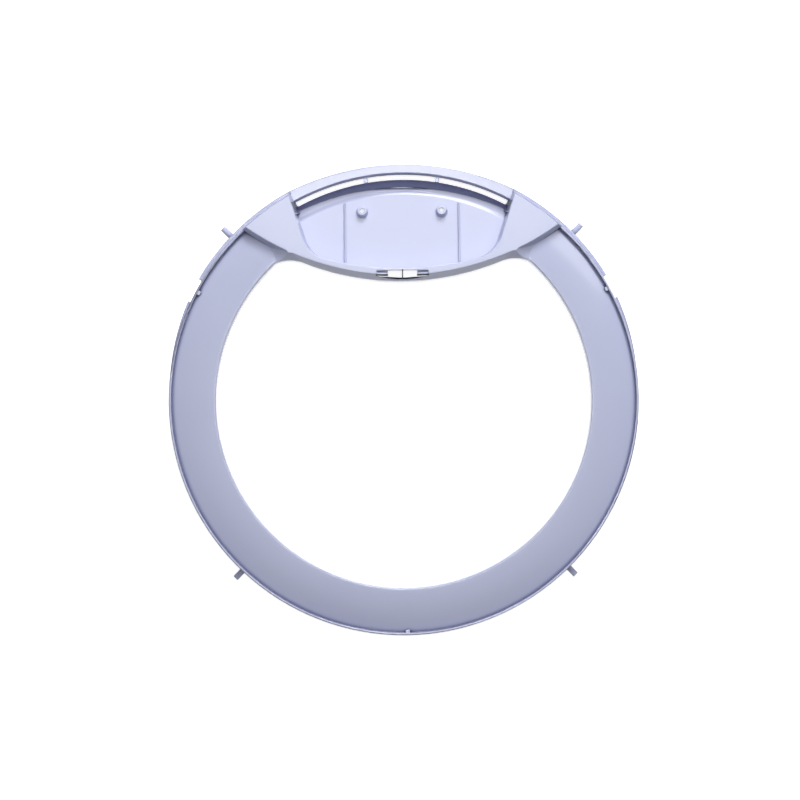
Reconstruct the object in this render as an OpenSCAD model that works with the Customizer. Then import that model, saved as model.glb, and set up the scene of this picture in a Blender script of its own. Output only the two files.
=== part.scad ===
// Tub cover of a top-loading washing machine, moulded as one thin-walled piece.
// Millimetres, +Z up. The origin lies on the ring's axis at the foot of the outer wall.
// +Y points from the ring's axis to the raised lens at the rear, and +X to the right.

/* [Ring] */
// Radius of the bead round the outer wall, the widest circle of the cover
bead_r = 275; // [270:0.5:280]
// How far the bead stands out from the outer wall
bead_stand = 1.4; // [0.8:0.1:2]
// Height of the bead's lower edge above the foot
bead_z = 15; // [12:0.5:17]
// Height of the bead itself
bead_h = 2.6; // [2:0.1:3.2]
// How far the flange, into which the bead widens along the rear, stands out from the bead
flange_w = 3.8; // [2:0.1:5]
// How far behind the axis the circle is centred along which the flange fades into the bead
flange_shift = 9; // [7:0.1:11]
// Length of the gap in the bead at each of the two rear teeth
bead_gap = 28; // [22:1:32]
// Radius of the laundry opening
opening_r = 218.5; // [215:0.5:222]
// Thickness of every moulded wall
wall = 2.4; // [2:0.1:2.8]
// Height of the rim above the foot of the outer wall
rim_h = 30; // [28:0.5:32]
// How far the rim stands above the foot of the dome
rim_stand = 6; // [4:0.5:8]
// Rise of the dome from its foot at the rim to the laundry opening
dome_rise = 10; // [8:0.5:12]
// Height of the lower edge of the lip round the laundry opening
lip_z = 12; // [8:0.5:14]
// Rounding of the dome into the lip
lip_round = 2; // [1.5:0.1:2.4]

/* [Raised lens] */
// Height of the lens at its front edge, the highest point of the cover
lens_h = 50; // [47:0.5:53]
// Slope of the lens down towards the rear, in degrees
lens_tilt = 10; // [8:0.5:11]
// Distance of the front edge of the lens top from the ring's axis
lens_front_y = 145; // [144:0.5:146]
// Radius of the front edge of the lens top
lens_front_r = 310; // [304:1:318]
// Draft of the sloping face under that edge, against the lens top
face_draft = 16; // [14:0.5:18]
// How far the lip below the sloping face stands out in front of that edge
lip_out = 6.5; // [5:0.5:8]
// Radius of that front lip
lip_front_r = 308; // [303:1:313]
// Radius of the shoulder at each end of the front lip, where it turns into the ring's opening
corner_r = 45; // [40:1:50]
// How far the shoulders reach back behind the middle of the front lip
shoulder_back = 25.5; // [24.5:0.5:27.5]
// Slope of the lens face above the shoulder, from the vertical, in degrees
shoulder_slope = 38; // [34:1:42]
// Height above the foot where the outer wall of the lens starts to lean in
lean_z = 30; // [28:0.5:32]
// Lean of the outer wall of the lens, in degrees
lean = 8; // [6:0.5:10]
// Radius of the hollow blend between the lens and the dome
blend_r = 29; // [26:0.5:32]
// Angle between that blend's foot on the dome and the X axis, in degrees
blend_at = 46.6; // [46:0.1:47]

/* [Pocket] */
// Width of the beam that is left between the front edge and the pocket, at the middle
beam_w = 7.8; // [7.4:0.1:8.6]
// Radius of the pocket's front edge
pocket_front_r = 340; // [330:1:350]
// Depth of the pocket floor under the lens top
pocket_depth = 18; // [15:0.5:19]
// Draft of the pocket's front and side walls, in degrees
pocket_draft = 12; // [10:0.5:13]
// Half the width of the pocket where its side walls meet the front arc
pocket_half_w = 109.5; // [106:0.5:113]
// Angle of the pocket's side walls to the axis of symmetry, in degrees
pocket_flare = 17.8; // [16:0.2:19]
// Rounding of the pocket's front corners
pocket_corner_r = 40; // [34:1:44]
// Distance from the slots to the upper edge of the step along the rear of the floor
step_in = 16.5; // [14.5:0.5:18.5]
// Radius of that edge
step_r = 237.5; // [230:0.5:245]
// Drop of the floor at the step
step_h = 1.4; // [1:0.1:1.8]
// Run of the step's slope
step_run = 4.3; // [3.5:0.1:5]
// Distance of each rib on the floor from the axis of symmetry
rib_x = 66.5; // [64:0.5:69]
// Thickness of the ribs
rib_w = 1.8; // [1.4:0.1:2.2]
// Height of the ribs above the floor
rib_h = 3; // [2:0.5:4]
// Distance of each screw boss from the axis of symmetry
boss_x = 46.4; // [42:0.1:50]
// Distance of the bosses from the front edge, along the slope
boss_y = 79.5; // [77:0.5:82]
// Radius of a boss at its top
boss_r = 5.6; // [5:0.1:6.2]
// Radius of a boss at the floor
boss_foot_r = 6.8; // [6.4:0.1:7.4]
// Height of a boss above the floor
boss_h = 8; // [6:0.5:9]
// Radius of the screw hole
screw_r = 2.3; // [2:0.1:2.6]

/* [Rear slots] */
// Width of the strip behind the slots, out to the outer wall
strip_w = 10.3; // [9:0.1:12]
// Width of the slots
slot_w = 5.8; // [5:0.1:6.4]
// Half the angle that the three slots take up together, in degrees
slots_half = 28.1; // [27.4:0.1:28.4]
// Angle from the axis of symmetry to each bridge between two slots
bridge_at = 9.2; // [8.6:0.1:9.8]
// Width of a bridge
bridge_w = 4.4; // [3.6:0.1:5]
// Rounding of the inner corners at the two ends of the row of slots
slot_corner_r = 2.3; // [1.5:0.1:2.5]
// Height of the inner edge of the slots, where the rear wall of the pocket ends
slot_z = 22; // [21:0.5:23]
// Height of the lower edge of the bridges
bridge_z = 16; // [15:0.5:17]
// Run of the pocket's rear wall for each millimetre that it rises
rear_run = 0.8; // [0.7:0.05:0.9]
// Height of the strip behind the slots
strip_z = 25; // [24.5:0.5:27]
// Radius of the strip's outer edge
strip_edge_r = 303; // [296:1:312]
// Width of the sloping inner edge of the strip
strip_bevel = 2.3; // [1.8:0.1:2.8]
// Distance in front of the slots at which the pocket's side walls become the slots' end walls
cheek_in = 7.5; // [5.5:0.5:9.5]
// Draft of the slots' end walls, in degrees
cheek_draft = 21; // [18:0.5:23]

/* [Front window] */
// Half the width of the window in the beam
window_half_w = 30; // [28:0.5:32]
// How far it reaches back behind the front edge of the lens top
window_back = 5.3; // [5:0.1:5.6]
// How far its bowed front edge stands out in front of that edge, at the middle
window_out = 4.5; // [3.8:0.1:4.7]
// Radius of the bowed front edge
window_bow_r = 110; // [100:1:130]
// Width of the sill at the foot of the window's bowed front edge
sill_w = 3.1; // [2.4:0.1:3.4]
// Half the width of the open cells between the two clip seats
cells_half_w = 16.8; // [15:0.1:18]
// Thickness of the web between the two cells
web_t = 1.4; // [1.2:0.1:1.8]
// How far the web and the clip seats lie under the lens top
seat_drop = 2.4; // [2:0.1:3]
// Thickness of a clip seat
seat_t = 2; // [1.6:0.1:2.4]
// Width of the groove behind a clip seat at its inner end, which narrows to half of it
seat_slit = 2.2; // [1.6:0.1:2.6]
// Thickness of the groove's floor
seat_floor = 1.2; // [1:0.1:1.6]

/* [Pins and teeth] */
// Angles of the four locking pins, from +X towards +Y
pin_at = [44.1, 135.9, 226, 314]; // [0:0.1:360]
// Radius of a pin
pin_r = 3.5; // [3:0.1:3.7]
// How far each pin stands out from the outer wall
pin_l = [19, 19, 13.5, 13.5]; // [10:0.5:20]
// Height of a pin's centre above the foot
pin_z = 8; // [6:0.5:9.5]
// Angles of the three teeth inside the rim, from +X towards +Y
tooth_at = [28.2, 151.8, 270.4]; // [0:0.1:360]
// Width of a tooth along the rim
tooth_w = 5; // [4:0.1:6]
// How far a tooth stands in from the rim
tooth_in = 3.4; // [2.6:0.1:4]
// Depth of a tooth's top under the rim's top
tooth_drop = 1.6; // [1.4:0.1:2]

/* [Hidden] */
plastic = "lavender";

// How far cutting shapes run past the faces they cut, and joined shapes into each other
past = 1;
bite = 0.3;
// How far two rounds that should touch lap each other, so that they cross cleanly
nip = 0.15;
// A height above the whole cover and a depth below it
sky = lens_h + 30;
deep = 80;
huge = 4 * bead_r;
// How far the space over the pocket reaches above the lens top
over_top = rim_h;

rim_out = bead_r - bead_stand;
rim_in = rim_out - wall;
flange_r = bead_r + flange_w;
dome_foot_z = rim_h - rim_stand;
dome_top_z = dome_foot_z + dome_rise;
dome_run = rim_in - opening_r;
dome_r = (dome_run * dome_run + dome_rise * dome_rise) / (2 * dome_rise);

lip_front_y = lens_front_y - lip_out;
lip_front_c = lip_front_y + lip_front_r;
shoulder_y = lip_front_y + shoulder_back;
window_rear_y = lens_front_y + window_back;
window_front_y = lens_front_y - window_out;

// Radii of the slots and of what lies along them
slot_out = rim_out - strip_w;
slot_in = slot_out - slot_w;
strip_in = slot_out + strip_bevel;
cheek_r = slot_in - cheek_in;
step_y = slot_in - step_in;

// Centre of the shoulder between the ring's opening and the front lip
corner_y = shoulder_y - corner_r;
corner_x = sqrt(pow(lip_front_r + corner_r - nip, 2) - pow(lip_front_c - corner_y, 2));
corner_far = norm([corner_x, corner_y]);

// Where the shoulder meets the ring's opening and touches the front lip
ring_near = (pow(opening_r, 2) - pow(corner_r, 2) + pow(corner_far, 2)) / (2 * corner_far);
ring_beside = sqrt(opening_r * opening_r - ring_near * ring_near);
ring_touch = [corner_x * ring_near - corner_y * ring_beside,
              corner_y * ring_near + corner_x * ring_beside] / corner_far;
lip_touch = [0, lip_front_c]
    + [corner_x, corner_y - lip_front_c] * (lip_front_r - nip / 2) / (lip_front_r + corner_r - nip);

// Height at which the sloping face reaches the front lip, straight below a point of its plan
function face_foot_z(p) =
    let (k = (p[1] - lens_front_y) / cos(lens_tilt) - lens_front_r,
         m = -tan(lens_tilt),
         t = tan(face_draft),
         a = m * m - t * t,
         b = 2 * k * m + 2 * lens_front_r * t,
         c = p[0] * p[0] + k * k - lens_front_r * lens_front_r,
         down = (-b + sqrt(b * b - 4 * a * c)) / (2 * a),
         along = (p[1] - lens_front_y - down * sin(lens_tilt)) / cos(lens_tilt))
    lens_h - along * sin(lens_tilt) + down * cos(lens_tilt);

// Where the front lip's circle meets the inside of the rim
lip_wing_y = (rim_in * rim_in - lip_front_r * lip_front_r + lip_front_c * lip_front_c)
    / (2 * lip_front_c);
lip_wing_x = sqrt(rim_in * rim_in - lip_wing_y * lip_wing_y);

// Sets children in the sloping frame of the lens, whose zero height is the lens top
module on_slope() {
    translate([0, lens_front_y, lens_h])
        rotate([-lens_tilt, 0, 0])
            children();
}

module both_sides() {
    children();
    mirror([1, 0, 0]) children();
}

// Ring

// Section under the dome, from the opening to the rim, shrunk by inset on the upper and inner sides
module dome_section(inset, bottom) {
    intersection() {
        translate([opening_r, dome_top_z - dome_r])
            circle(r = dome_r - inset, $fn = 720);
        translate([opening_r + inset, bottom])
            square([rim_out - opening_r - inset - bite, dome_top_z - bottom + past]);
    }
}

// The sharp corner that is cut off to round the dome into the lip
module lip_corner_section() {
    difference() {
        translate([opening_r - past, dome_top_z - lip_round])
            square([lip_round + past, lip_round + past]);
        translate([opening_r + lip_round, dome_top_z - lip_round])
            circle(r = lip_round, $fn = 48);
    }
}

module rim_section() {
    translate([rim_in, 0])
        square([wall, rim_h - wall / 2]);
    translate([rim_in + wall / 2, rim_h - wall / 2])
        circle(r = wall / 2, $fn = 36);
}

module ring_block() {
    rotate_extrude($fn = 360) {
        difference() {
            dome_section(0, lip_z);
            lip_corner_section();
        }
        rim_section();
    }
}

// Sector of the plan between two angles from +X towards +Y
module sector(from, to) {
    far = 2 * bead_r;
    polygon([[0, 0], far * [cos(from), sin(from)],
             2 * far * [cos((from + to) / 2), sin((from + to) / 2)], far * [cos(to), sin(to)]]);
}

module bead() {
    translate([0, 0, bead_z])
        linear_extrude(bead_h)
            difference() {
                union() {
                    circle(r = bead_r, $fn = 360);
                    both_sides()
                        intersection() {
                            circle(r = flange_r, $fn = 360);
                            translate([0, flange_shift]) circle(r = rim_out + bite, $fn = 360);
                            sector(0, 90 - slots_half);
                        }
                }
                circle(r = rim_out - bite, $fn = 360);
                for (a = [tooth_at[0], tooth_at[1]])
                    rotate(a)
                        translate([rim_out, -bead_gap / 2])
                            square([flange_r - rim_out + past, bead_gap]);
            }
}

// The strip behind the slots reaches out over the outer wall along a flatter arc
module strip_lip() {
    translate([0, 0, strip_z - wall])
        linear_extrude(wall)
            difference() {
                intersection() {
                    circle(r = flange_r, $fn = 360);
                    translate([0, bead_r - strip_edge_r]) circle(r = strip_edge_r, $fn = 720);
                    sector(90 - slots_half, 90 + slots_half);
                }
                circle(r = rim_out - bite, $fn = 360);
            }
}

// Raised lens

// Plan of the front lip's inside, where the lens is, shrunk by inset
module lens_plan(inset) {
    translate([0, lip_front_c])
        circle(r = lip_front_r - inset, $fn = 720);
}

// Space inside the outer wall, which leans in above lean_z, shrunk by inset
module wall_space(inset) {
    r = rim_out - inset;
    rotate_extrude($fn = 360)
        polygon([[0, -deep], [r, -deep], [r, lean_z],
                 [r - (sky - lean_z) * tan(lean), sky], [0, sky]]);
}

// Space under the lens top and behind the sloping front face, shrunk by inset
module face_space(inset) {
    on_slope()
        translate([0, lens_front_r, -deep])
            cylinder(h = deep - inset,
                     r1 = lens_front_r + deep * tan(face_draft) - inset,
                     r2 = lens_front_r + inset * tan(face_draft) - inset, $fn = 720);
}

module under_lens_top(inset) {
    on_slope()
        translate([-rim_out, -lens_front_y, -deep])
            cube([2 * rim_out, rim_out, deep - inset]);
}

module lens_block(inset, bottom) {
    intersection() {
        translate([0, 0, bottom])
            linear_extrude(sky - bottom) lens_plan(inset);
        face_space(inset);
        wall_space(inset);
    }
}

// Round hollow along the dome's fall, which rounds the foot of the lens into the ring
dome_fall = atan(dome_rise / dome_run);
blend_sink = bite;
// Angle by which the solid of the blend starts later than the lowest line of the hollow
blend_start = 0.7;

module blend_hollow(inset) {
    rotate([0, 0, blend_at])
        translate([opening_r, 0, dome_top_z - blend_sink])
            rotate([0, dome_fall, 0])
                translate([-dome_run, 0, blend_r])
                    rotate([0, 90, 0])
                        cylinder(h = 3 * dome_run, r = blend_r + inset, $fn = 180);
}

// The lens face above the shoulder, which starts where the sloping face meets the front lip
corner_slope_z = face_foot_z(lip_touch);

module corner_slope_hollow(inset) {
    r = corner_r + inset;
    translate([corner_x, corner_y, corner_slope_z])
        cylinder(h = sky, r1 = r, r2 = r + sky * tan(shoulder_slope), $fn = 360);
}

// Share of the shoulder's radius up to which the blend runs past the ring's opening
over_touch = 1.02;

// Plan of the blend between ring and lens, on the dome and in the corner of the opening
module corner_plan(inset) {
    foot = [cos(blend_at + blend_start), sin(blend_at + blend_start)];
    inside_lens = lip_touch + [0, corner_r];
    before_shoulder = [corner_x, corner_y] + (ring_touch - [corner_x, corner_y]) * over_touch
        + [2 * past, -2 * past];
    difference() {
        union() {
            difference() {
                polygon([foot * (opening_r - past), foot * (rim_in + bite),
                         [lip_wing_x, lip_wing_y] * (1 + bite / rim_in), inside_lens, lip_touch]);
                circle(r = opening_r + inset, $fn = 360);
            }
            if (inset == 0)
                polygon([before_shoulder, [corner_x, corner_y], lip_touch, inside_lens]);
        }
        translate([corner_x, corner_y]) circle(r = corner_r + inset, $fn = 360);
    }
}

module corner_block(inset, bottom) {
    both_sides()
        difference() {
            intersection() {
                translate([0, 0, bottom])
                    linear_extrude(sky - bottom) corner_plan(inset);
                under_lens_top(inset);
                wall_space(inset);
            }
            blend_hollow(inset);
            corner_slope_hollow(inset);
        }
}

// Pocket

// Centre of the pocket's front edge in the sloping frame
pocket_front_c = beam_w + pocket_front_r;
// The side wall's line in the sloping frame passes this point at the lens top
side_point = [pocket_half_w,
              pocket_front_c - sqrt(pocket_front_r * pocket_front_r - pocket_half_w * pocket_half_w)];
side_normal = [cos(pocket_flare), -sin(pocket_flare)];
side_distance = side_point * side_normal;
// Centre of the front corner's rounding: pocket_corner_r inside the side line and the front arc
corner_reach = side_distance - pocket_corner_r;
arc_reach = pocket_front_r - pocket_corner_r;
arc_offset = [0, pocket_front_c] * side_normal - corner_reach;
side_along = [sin(pocket_flare), cos(pocket_flare)];
corner_along = [0, pocket_front_c] * side_along
    - sqrt(arc_reach * arc_reach - arc_offset * arc_offset);
pocket_corner = corner_reach * side_normal + corner_along * side_along;
pocket_corner_dir = (pocket_corner - [0, pocket_front_c]) / arc_reach;

// Cone on the sloping frame with radius r at the lens top, narrowing downwards by its draft
module drafted(r, depth, draft) {
    translate([0, 0, -depth])
        cylinder(h = depth + over_top, r1 = r - depth * tan(draft),
                 r2 = r + over_top * tan(draft), $fn = 720);
}

// Space inside the right side wall of the pocket
module inside_side_wall(grow, draft) {
    translate([side_point[0], side_point[1], 0])
        rotate([0, 0, -pocket_flare])
            translate([grow, 0, 0])
                rotate([0, draft, 0])
                    translate([-huge, -huge / 2, -huge / 2])
                        cube(huge);
}

// What the rounding takes off at the right front corner of the pocket
module pocket_corner_cut(grow, depth, draft) {
    reach = 3 * pocket_corner_r;
    difference() {
        translate([0, 0, -depth - past])
            linear_extrude(depth + over_top)
                polygon([pocket_corner,
                         pocket_corner + reach * side_normal,
                         pocket_corner + reach * (side_normal + pocket_corner_dir),
                         pocket_corner + reach * pocket_corner_dir]);
        translate([pocket_corner[0], pocket_corner[1], 0])
            drafted(pocket_corner_r + grow + nip, depth, draft);
    }
}

// Space within the pocket's front and side walls, grown by grow at the lens top
module pocket_tray(grow, depth, draft) {
    on_slope()
        difference() {
            intersection() {
                translate([0, pocket_front_c, 0])
                    drafted(pocket_front_r + grow, depth, draft);
                inside_side_wall(grow, draft);
                mirror([1, 0, 0]) inside_side_wall(grow, draft);
            }
            both_sides() pocket_corner_cut(grow, depth, draft);
        }
}

// Lowest height of the shapes that form the pocket's rear wall
rear_low = 4;
// Depth of the floor behind the step, and the place of the step's edge along the slope
rear_depth = pocket_depth + step_h;
step_along = (step_y - lens_front_y + pocket_depth * sin(lens_tilt)) / cos(lens_tilt);

// Space in front of the rear wall and over the slots and the strip
module over_rear() {
    rotate_extrude($fn = 360)
        polygon([[0, rear_low],
                 [slot_in - bite - (slot_z - rear_low) * rear_run, rear_low],
                 [slot_in - bite, slot_z], [slot_out + bite, slot_z], [strip_in, strip_z],
                 [bead_r + past, strip_z], [bead_r + past, sky], [0, sky]]);
}

// The same space with the thickness of the rear wall, the bridges and the strip
module over_rear_underside() {
    back = wall / sin(atan(1 / rear_run));
    rotate_extrude($fn = 360)
        polygon([[0, rear_low],
                 [slot_in + back - (slot_z - rear_low) * rear_run, rear_low],
                 [slot_in + back - (slot_z - bridge_z) * rear_run, bridge_z],
                 [slot_out + wall, bridge_z], [slot_out + wall, strip_z - wall],
                 [bead_r + past, strip_z - wall], [bead_r + past, sky], [0, sky]]);
}

// The floor in front of the step, as far as it lies above the floor behind it
module above_step(depth, reach) {
    on_slope()
        translate([0, step_along - step_r, -depth - reach])
            cylinder(h = reach, r1 = step_r + reach * step_run / step_h, r2 = step_r, $fn = 720);
}

// End walls of the slots, which reach further in than the pocket's side walls
module cheeks() {
    difference() {
        cylinder(h = sky, r = rim_out, $fn = 720);
        translate([0, 0, -past])
            cylinder(h = sky + 2 * past, r = cheek_r, $fn = 720);
        on_slope()
            intersection() {
                inside_side_wall(0, cheek_draft);
                mirror([1, 0, 0]) inside_side_wall(0, cheek_draft);
            }
    }
}

module pocket_hollow() {
    difference() {
        intersection() {
            pocket_tray(0, rear_depth, pocket_draft);
            over_rear();
        }
        above_step(pocket_depth, step_h + bite);
        cheeks();
    }
}

module pocket_shell_block() {
    difference() {
        intersection() {
            pocket_tray(wall, rear_depth + wall, pocket_draft);
            over_rear_underside();
        }
        above_step(pocket_depth + wall, step_h + bite);
    }
}

module slot(from, to) {
    rotate([0, 0, 90 + from])
        rotate_extrude(angle = to - from, $fn = 360)
            translate([slot_in, -past])
                square([slot_w, sky]);
}

// A slot that ends at slots_half with its inner corner rounded
module outer_slot() {
    difference() {
        slot(bridge_at + bridge_angle / 2, slots_half);
        rotate([0, 0, 90 + slots_half])
            difference() {
                translate([slot_in - past, -slot_corner_r, -2 * past])
                    cube([slot_corner_r + past, slot_corner_r + past, sky + 2 * past]);
                translate([slot_in + slot_corner_r, -slot_corner_r, -3 * past])
                    cylinder(h = sky + 4 * past, r = slot_corner_r + nip, $fn = 48);
            }
    }
}

bridge_angle = bridge_w / slot_in * 180 / PI;

module slots() {
    slot(-bridge_at + bridge_angle / 2, bridge_at - bridge_angle / 2);
    both_sides() outer_slot();
}

// The ribs end just before they reach the step
rib_end = step_along - step_r + sqrt(step_r * step_r - rib_x * rib_x) - past - bite;

module ribs() {
    intersection() {
        pocket_tray(bite, pocket_depth + bite, pocket_draft);
        over_rear();
        both_sides()
            on_slope()
                translate([rib_x - rib_w / 2, 0, -pocket_depth - bite])
                    cube([rib_w, rib_end, rib_h + bite]);
    }
}

module bosses() {
    both_sides()
        on_slope()
            translate([boss_x, boss_y, -pocket_depth - bite])
                cylinder(h = boss_h + bite, r1 = boss_foot_r, r2 = boss_r, $fn = 72);
}

// The holes run straight up and down through the middle of the bosses' tops
module screw_holes() {
    top = boss_h - pocket_depth;
    both_sides()
        translate([boss_x,
                   lens_front_y + boss_y * cos(lens_tilt) + top * sin(lens_tilt),
                   -past])
            cylinder(h = sky, r = screw_r, $fn = 48);
}

// Front window

module window_plan(half_w) {
    intersection() {
        translate([-half_w, lip_front_y])
            square([2 * half_w, window_rear_y - lip_front_y]);
        translate([0, window_front_y + window_bow_r])
            circle(r = window_bow_r, $fn = 360);
    }
}

module window_cut() {
    translate([0, 0, dome_top_z - 2 * wall])
        linear_extrude(sky) window_plan(window_half_w);
}

// Rear edge of the window in the sloping frame
seat_back = (window_rear_y - lens_front_y) / cos(lens_tilt);

// Clip seats at both ends of the window, each with a tapering groove behind it
module clip_seats() {
    under = seat_drop + seat_t;
    reach = lip_front_y - lens_front_y;
    both_sides() {
        intersection() {
            face_space(bite);
            on_slope()
                translate([0, 0, -under])
                    linear_extrude(seat_t)
                        polygon([[cells_half_w, reach],
                                 [window_half_w + bite, reach],
                                 [window_half_w + bite, seat_back - seat_slit / 2],
                                 [cells_half_w, seat_back - seat_slit]]);
        }
        on_slope()
            translate([cells_half_w + bite, seat_back - seat_slit - wall / 2, -under - seat_floor + bite])
                cube([window_half_w - cells_half_w + bite, seat_slit + wall + wall / 2, seat_floor]);
    }
}

// Depth and half the length of the space that bounds the web
web_depth = 4 * wall;
web_reach = 14;

module window_web() {
    intersection() {
        face_space(bite);
        translate([0, 0, lip_z])
            linear_extrude(sky)
                translate([-web_t / 2, lip_front_y + wall / 2])
                    square([web_t, window_rear_y - lip_front_y]);
        on_slope()
            translate([-web_t, -web_reach, -web_depth])
                cube([2 * web_t, 2 * web_reach, web_depth - seat_drop / 2]);
    }
}

// Sill at the foot of the lip, below the bowed front edge of the window
module window_sill() {
    intersection() {
        translate([0, 0, lip_z])
            linear_extrude(wall)
                difference() {
                    translate([-window_half_w, lip_front_y + wall / 2])
                        square([2 * window_half_w, window_rear_y - lip_front_y]);
                    translate([0, window_front_y + sill_w + window_bow_r])
                        circle(r = window_bow_r, $fn = 360);
                }
        translate([0, lip_front_c, 0])
            difference() {
                cylinder(h = sky, r = lip_front_r - wall / 2, $fn = 720);
                translate([0, 0, -past])
                    cylinder(h = sky + 2 * past, r = lip_front_r - wall - sill_w, $fn = 720);
            }
    }
}

// Pins and teeth

module pins() {
    for (i = [0:3])
        rotate([0, 0, pin_at[i]])
            translate([rim_in + bite, 0, pin_z])
                rotate([0, 90, 0])
                    cylinder(h = wall - bite + pin_l[i], r = pin_r, $fn = 48);
}

module teeth() {
    for (a = tooth_at)
        rotate([0, 0, a])
            translate([rim_in - tooth_in, -tooth_w / 2, dome_foot_z - wall / 2])
                cube([tooth_in + wall / 2, tooth_w, rim_stand + wall / 2 - tooth_drop]);
}

// Whole cover

module outer_block() {
    ring_block();
    lens_block(0, lip_z);
    // The outer wall of the lens goes down to the foot
    difference() {
        lens_block(0, 0);
        translate([0, 0, -past])
            cylinder(h = sky, r = rim_in, $fn = 360);
    }
    corner_block(0, lip_z);
}

module inner_hollow() {
    difference() {
        union() {
            rotate_extrude($fn = 360)
                intersection() {
                    dome_section(wall, -past);
                    translate([0, -past])
                        square([rim_in, 2 * rim_h]);
                }
            lens_block(wall, -past);
            corner_block(wall, -past);
        }
        pocket_shell_block();
    }
}

module tub_cover() {
    color(plastic) {
        difference() {
            union() {
                difference() {
                    outer_block();
                    inner_hollow();
                    pocket_hollow();
                }
                bosses();
                ribs();
            }
            slots();
            screw_holes();
            window_cut();
        }
        clip_seats();
        window_web();
        window_sill();
        bead();
        strip_lip();
        pins();
        teeth();
    }
}

tub_cover();
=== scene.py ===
import math

import bmesh
import bpy
from mathutils import Matrix, Vector


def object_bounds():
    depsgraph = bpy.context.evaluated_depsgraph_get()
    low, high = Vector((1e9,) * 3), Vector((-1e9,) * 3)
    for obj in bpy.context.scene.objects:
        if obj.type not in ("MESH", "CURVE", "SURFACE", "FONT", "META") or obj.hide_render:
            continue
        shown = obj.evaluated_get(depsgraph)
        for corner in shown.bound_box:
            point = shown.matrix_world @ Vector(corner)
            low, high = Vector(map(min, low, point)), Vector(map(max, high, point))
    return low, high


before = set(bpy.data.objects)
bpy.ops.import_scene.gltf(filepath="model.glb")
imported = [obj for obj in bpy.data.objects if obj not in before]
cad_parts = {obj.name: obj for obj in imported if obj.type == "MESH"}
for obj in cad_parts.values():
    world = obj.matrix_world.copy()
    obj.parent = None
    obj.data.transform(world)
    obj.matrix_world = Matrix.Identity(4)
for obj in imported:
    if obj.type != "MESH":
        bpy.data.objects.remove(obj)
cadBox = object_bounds()
rimRadius = cadBox[1][1]  # the bead along the rim is the widest circle
print("stage: frame loaded", cadBox)

# All lengths are in metres, and the colours are written as they look


# Turns a written colour into a linear one
def linear(hexColour):
    channels = [int(hexColour[i : i + 2], 16) / 255 for i in (1, 3, 5)]
    return [c / 12.92 if c <= 0.04045 else ((c + 0.055) / 1.055) ** 2.4 for c in channels] + [1.0]


# Links sockets to what comes out of other nodes, or sets them to plain values. A list fills
# them in their order.
def fill(node, inputs):
    named = inputs.items() if isinstance(inputs, dict) else enumerate(inputs)
    for name, value in named:
        if isinstance(value, bpy.types.NodeSocket):
            node.id_data.links.new(value, node.inputs[name])
        else:
            node.inputs[name].default_value = value


# Adds a node with its settings and links, and gives its outputs
def addNode(tree, kind, inputs, **settings):
    node = tree.nodes.new("ShaderNode" + kind)
    for name, value in settings.items():
        setattr(node, name, value)
    fill(node, inputs)
    return node.outputs


# Moulded polypropylene has a satin skin: it is smooth enough to show the lamps as soft streaks,
# and wavy enough that they never run straight. The real grain is too fine for the render, so it
# is drawn about a millimetre coarse.
coverPlastic = {
    "colour": "#C0C6E9",
    "paleColour": "#C8CEEC",
    "ior": 1.49,
    "roughness": (0.09, 0.13),  # where it is most and least polished by handling
    "edgeRadius": 0.0018,  # every edge of a moulding is a little round
    "edgeSamples": 6,
    "patterns": {  # size and detail
        "swirl": (0.11, 3),  # drift between the two colours
        "rub": (0.11 / 6, 5),  # drift between the two roughnesses
        "grain": (0.0009, 2),
        "wave": (0.07, 1),
    },
    "reliefs": {"grain": 0.00003, "wave": 0.0002},
    "paintedShadeColour": "#2A2D6E",  # painted shade: what is left of the colour deep in a hollow
    "nearRim": (0.035, 0.0185),  # painted shade in hollows grows stronger from here to here, measured in from the rim
    "hollowSamples": 8,
    # Painted shade in creases and corners, from how open each point is
    "paintedHollows": {
        "crease": {"reach": 0.004, "openness": (0.9, 0.3), "share": 0.05, "shareNearRim": 0.1},
        "corner": {"reach": 0.024, "openness": (0.78, 0.3), "share": 0.15, "shareNearRim": 0.9},
    },
    # Painted shade on the rear wall of the pocket, darkest towards the slots
    "rearWallShade": {
        "slots": 0.017,  # in from the rim
        "slotsFade": 0.0001,
        "top": 0.026,
        "topFade": 0.001,
        "share": 0.8,
    },
    "paintedGapShadeColour": "#16171F",  # painted shade, since light hardly reaches these narrow places
    "gapFade": 0.0005,
    "paintedGaps": {  # painted shade boxes: distance from the middle, Y, Z and share
        "sill": ((-0.001, 0.031), (0.137, 0.146), (0.011, 0.0155), 0.97),
        "web": ((-0.001, 0.0011), (0.1408, 0.152), (0.011, 0.06), 0.8),
        "clipSeat": ((0.0165, 0.031), (0.144, 0.1466), (0.042, 0.0495), 0.9),
        "slotEnd": ((0.121, 0.1295), (0.219, 0.2325), (0.012, 0.0335), 0.7),
    },
}


# Cuts a share down to where each value has gone from its start to its end
def shareWhere(tree, share, fades):
    for value, start, end in fades:
        reached = addNode(tree, "MapRange", [value, start, end])[0]
        share = addNode(tree, "Math", [share, reached], operation="MULTIPLY")[0]
    return share


# Painted shade where walls stand close together, most of all along the rim
def paintedHollowShades(tree, look, radius):
    start, end = [rimRadius - inwards for inwards in look["nearRim"]]
    shares = []
    for hollow in look["paintedHollows"].values():
        inputs = {"Distance": hollow["reach"]}
        opened = addNode(tree, "AmbientOcclusion", inputs, samples=look["hollowSamples"])["AO"]
        most = [radius, start, end, hollow["share"], hollow["shareNearRim"]]
        share = addNode(tree, "MapRange", most)[0]
        shares.append(shareWhere(tree, share, [(opened, *hollow["openness"])]))
    return shares


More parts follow.
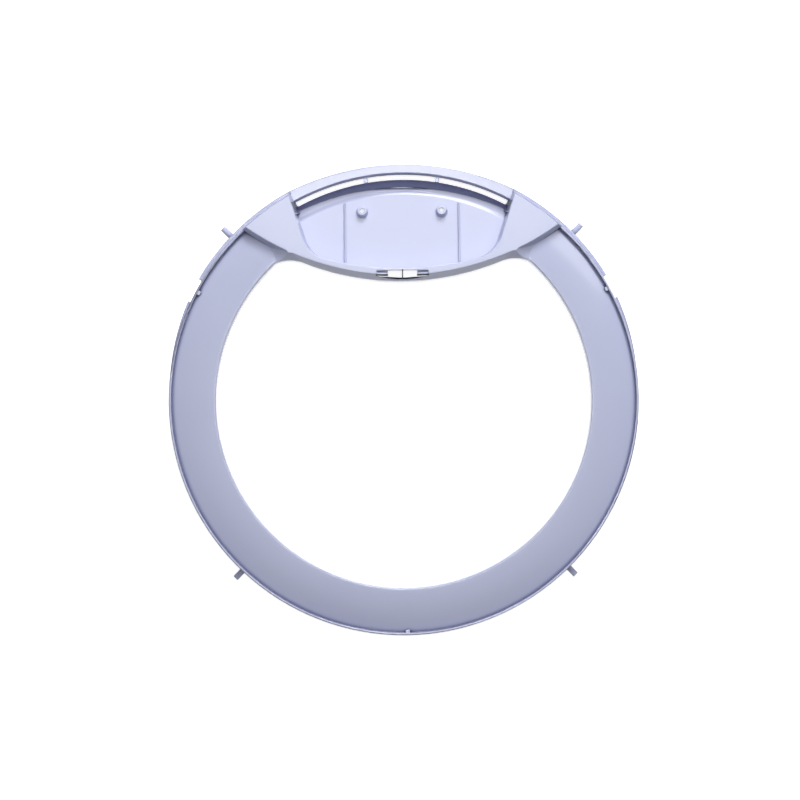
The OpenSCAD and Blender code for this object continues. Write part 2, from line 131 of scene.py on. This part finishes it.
# Painted shade on the rear wall of the pocket towards the slots, but not on the strip behind them
def paintedRearWallShade(tree, look, radius, height):
    wall = look["rearWallShade"]
    start, end = [rimRadius - inwards for inwards in look["nearRim"]]
    slots = rimRadius - wall["slots"]
    fades = [
        (radius, start, end),
        (radius, slots, slots - wall["slotsFade"]),
        (height, wall["top"] + wall["topFade"], wall["top"]),
    ]
    return shareWhere(tree, wall["share"], fades)


# The cover is alike on both sides, so one box of painted shade stands for a gap on the left and
# on the right
def paintedGapShades(tree, look, places):
    fade = look["gapFade"]
    shares = []
    for *spans, share in look["paintedGaps"].values():
        fades = []
        for value, (low, high) in zip(places, spans):
            fades += [(value, low, low + fade), (value, high, high - fade)]
        shares.append(shareWhere(tree, share, fades))
    return shares


def mouldedPlastic(look):
    material = bpy.data.materials.new("lavenderPolypropylene")
    material.use_nodes = True
    tree = material.node_tree
    place = addNode(tree, "TexCoord", {})["Object"]
    x, y, z = addNode(tree, "SeparateXYZ", [place])[:3]
    flat = addNode(tree, "CombineXYZ", [x, y])[0]
    radius = addNode(tree, "VectorMath", [flat], operation="LENGTH")["Value"]
    aside = addNode(tree, "Math", [x], operation="ABSOLUTE")[0]
    patterns = {}
    for name, (size, detail) in look["patterns"].items():
        inputs = {"Vector": place, "Scale": 1 / size, "Detail": detail}
        patterns[name] = addNode(tree, "TexNoise", inputs)["Fac"]

    paintedHollows = paintedHollowShades(tree, look, radius) + [paintedRearWallShade(tree, look, radius, z)]
    paintedGaps = paintedGapShades(tree, look, (aside, y, z))
    # The pale drift, then painted shade in hollows, on the rear wall and in narrow gaps
    layers = [(patterns["swirl"], look["paleColour"])]
    layers += [(share, look["paintedShadeColour"]) for share in paintedHollows]
    layers += [(share, look["paintedGapShadeColour"]) for share in paintedGaps]
    colour = linear(look["colour"])
    for share, over in layers:
        inputs = {0: share, 6: colour, 7: linear(over)}  # the Mix node's factor and two colours
        colour = addNode(tree, "Mix", inputs, data_type="RGBA")[2]

    # A gap with painted shade is rough too, so that no lamp is mirrored in it
    roughness = addNode(tree, "MapRange", [patterns["rub"], 0.0, 1.0, *look["roughness"]])[0]
    for share in paintedGaps:
        roughness = addNode(tree, "Math", [roughness, share], operation="MAXIMUM")[0]

    inputs = {"Radius": look["edgeRadius"]}
    normal = addNode(tree, "Bevel", inputs, samples=look["edgeSamples"])["Normal"]
    for name, depth in look["reliefs"].items():
        inputs = {"Height": patterns[name], "Distance": depth, "Normal": normal}
        normal = addNode(tree, "Bump", inputs)["Normal"]

    inputs = {"Base Color": colour, "Roughness": roughness, "Normal": normal, "IOR": look["ior"]}
    fill(tree.nodes["Principled BSDF"], inputs)
    return material


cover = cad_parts["tub_cover"]
plastic = mouldedPlastic(coverPlastic)
if not cover.material_slots:
    cover.data.materials.append(plastic)
for slot in cover.material_slots:
    slot.material = plastic
print("stage: plastic on the cover")


# The white background is seen and mirrored, but throws no light on the cover
def whiteWhenSeen(tree, unseen, seen):
    rays = addNode(tree, "LightPath", {})
    isSeen = 0.0
    for ray in ("Camera", "Glossy", "Transmission"):
        inputs = [isSeen, rays["Is " + ray + " Ray"]]
        isSeen = addNode(tree, "Math", inputs, operation="MAXIMUM")[0]
    return addNode(tree, "MapRange", [isSeen, 0.0, 1.0, unseen, seen])[0]


# A matt painted board takes a soft shadow and mirrors nothing
paleBoard = {
    "size": 24.0,  # it fills the view from every side
    "colour": "#F4F4F2",
    "glow": "#FFFFFF",
    "glowSeen": 0.82,  # with the light of the lamps that makes white
    "roughness": (0.85, 0.9),
    "mottle": (0.5, 2),  # size and detail
}


def paintedBoard(look):
    material = bpy.data.materials.new("paleFloor")
    material.use_nodes = True
    tree = material.node_tree
    size, detail = look["mottle"]
    place = addNode(tree, "TexCoord", {})["Object"]
    inputs = {"Vector": place, "Scale": 1 / size, "Detail": detail}
    mottle = addNode(tree, "TexNoise", inputs)["Fac"]
    inputs = {
        "Base Color": linear(look["colour"]),
        "Roughness": addNode(tree, "MapRange", [mottle, 0.0, 1.0, *look["roughness"]])[0],
        "Emission Color": linear(look["glow"]),
        "Emission Strength": whiteWhenSeen(tree, 0.0, look["glowSeen"]),
    }
    fill(tree.nodes["Principled BSDF"], inputs)
    return material


def makeFloor(look):
    shape = bmesh.new()
    bmesh.ops.create_grid(shape, x_segments=2, y_segments=2, size=look["size"] / 2)
    mesh = bpy.data.meshes.new("paleFloor")
    shape.to_mesh(mesh)
    shape.free()
    mesh.materials.append(paintedBoard(look))
    floor = bpy.data.objects.new("paleFloor", mesh)
    bpy.context.scene.collection.objects.link(floor)


makeFloor(paleBoard)
print("stage: floor")

# Round soft lamps, all turned to the middle of the cover, in a faintly lit white room
studio = {
    "lampDistance": 3.5,
    "lampColour": "#FFFEFB",
    "lamps": {  # degrees from straight above, degrees from +X to +Y, diameter and watts
        "overhead": (0, 0, 1.2, 14.0),
        "overStrip": (6, 90, 0.7, 9.5),
        "overLens": (35, 90, 1.44, 21.0),
        "lowRear": (55, 82, 1.4, 68.0),
        "lowRearRight": (45, 45, 1.4, 13.0),
    },
    "roomColour": "#FFFFFF",
    "roomLight": 0.08,
    "roomSeen": 1.0,
}


def makeLamp(look, name, fromTop, around, diameter, watts):
    light = bpy.data.lights.new(name, "AREA")
    light.shape = "DISK"
    light.size = diameter
    light.energy = watts
    light.color = linear(look["lampColour"])[:3]
    lamp = bpy.data.objects.new(name, light)
    bpy.context.scene.collection.objects.link(lamp)
    lean, turn = math.radians(fromTop), math.radians(around)
    aside = math.sin(lean)
    direction = Vector((aside * math.cos(turn), aside * math.sin(turn), math.cos(lean)))
    lamp.location = direction * look["lampDistance"]
    lamp.rotation_euler = (-direction).to_track_quat("-Z", "Y").to_euler()


def makeLight(look):
    for name, lamp in look["lamps"].items():
        makeLamp(look, name, *lamp)
    world = bpy.data.worlds.new("studio")
    world.use_nodes = True
    tree = world.node_tree
    strength = whiteWhenSeen(tree, look["roomLight"], look["roomSeen"])
    inputs = {"Color": linear(look["roomColour"]), "Strength": strength}
    fill(tree.nodes["Background"], inputs)
    bpy.context.scene.world = world
    bpy.context.scene.view_settings.view_transform = "Standard"


makeLight(studio)
print("stage: lamps and room")

# The photograph was taken from straight above, with the cover a little turned and off the middle
photoView = {
    "height": 3.0,  # above the foot of the cover
    "focusHeight": 0.016,  # height of the bead
    "pixel": 0.00117,  # what one pixel shows at that height
    "photoSize": 800,  # pixels
    "ringCentre": (403.8, 400.2),  # pixel on which the ring's axis falls
    "turn": -0.6,  # degrees about the ring's axis
    "sensor": 36.0,  # millimetres
    "farthest": 20.0,
}


def makeCamera(view):
    lens = bpy.data.cameras.new("photoCamera")
    camera = bpy.data.objects.new("photoCamera", lens)
    bpy.context.scene.collection.objects.link(camera)
    middle = view["photoSize"] / 2
    right = (middle - view["ringCentre"][0]) * view["pixel"]
    up = (view["ringCentre"][1] - middle) * view["pixel"]
    turn = Matrix.Rotation(math.radians(view["turn"]), 3, "Z")
    camera.location = turn @ Vector((right, up, view["height"]))
    camera.rotation_euler = turn.to_euler()
    lens.sensor_width = view["sensor"]
    photoWidth = view["photoSize"] * view["pixel"]
    lens.lens = view["sensor"] * (view["height"] - view["focusHeight"]) / photoWidth
    lens.clip_end = view["farthest"]
    bpy.context.scene.camera = camera


makeCamera(photoView)
print("stage: camera")
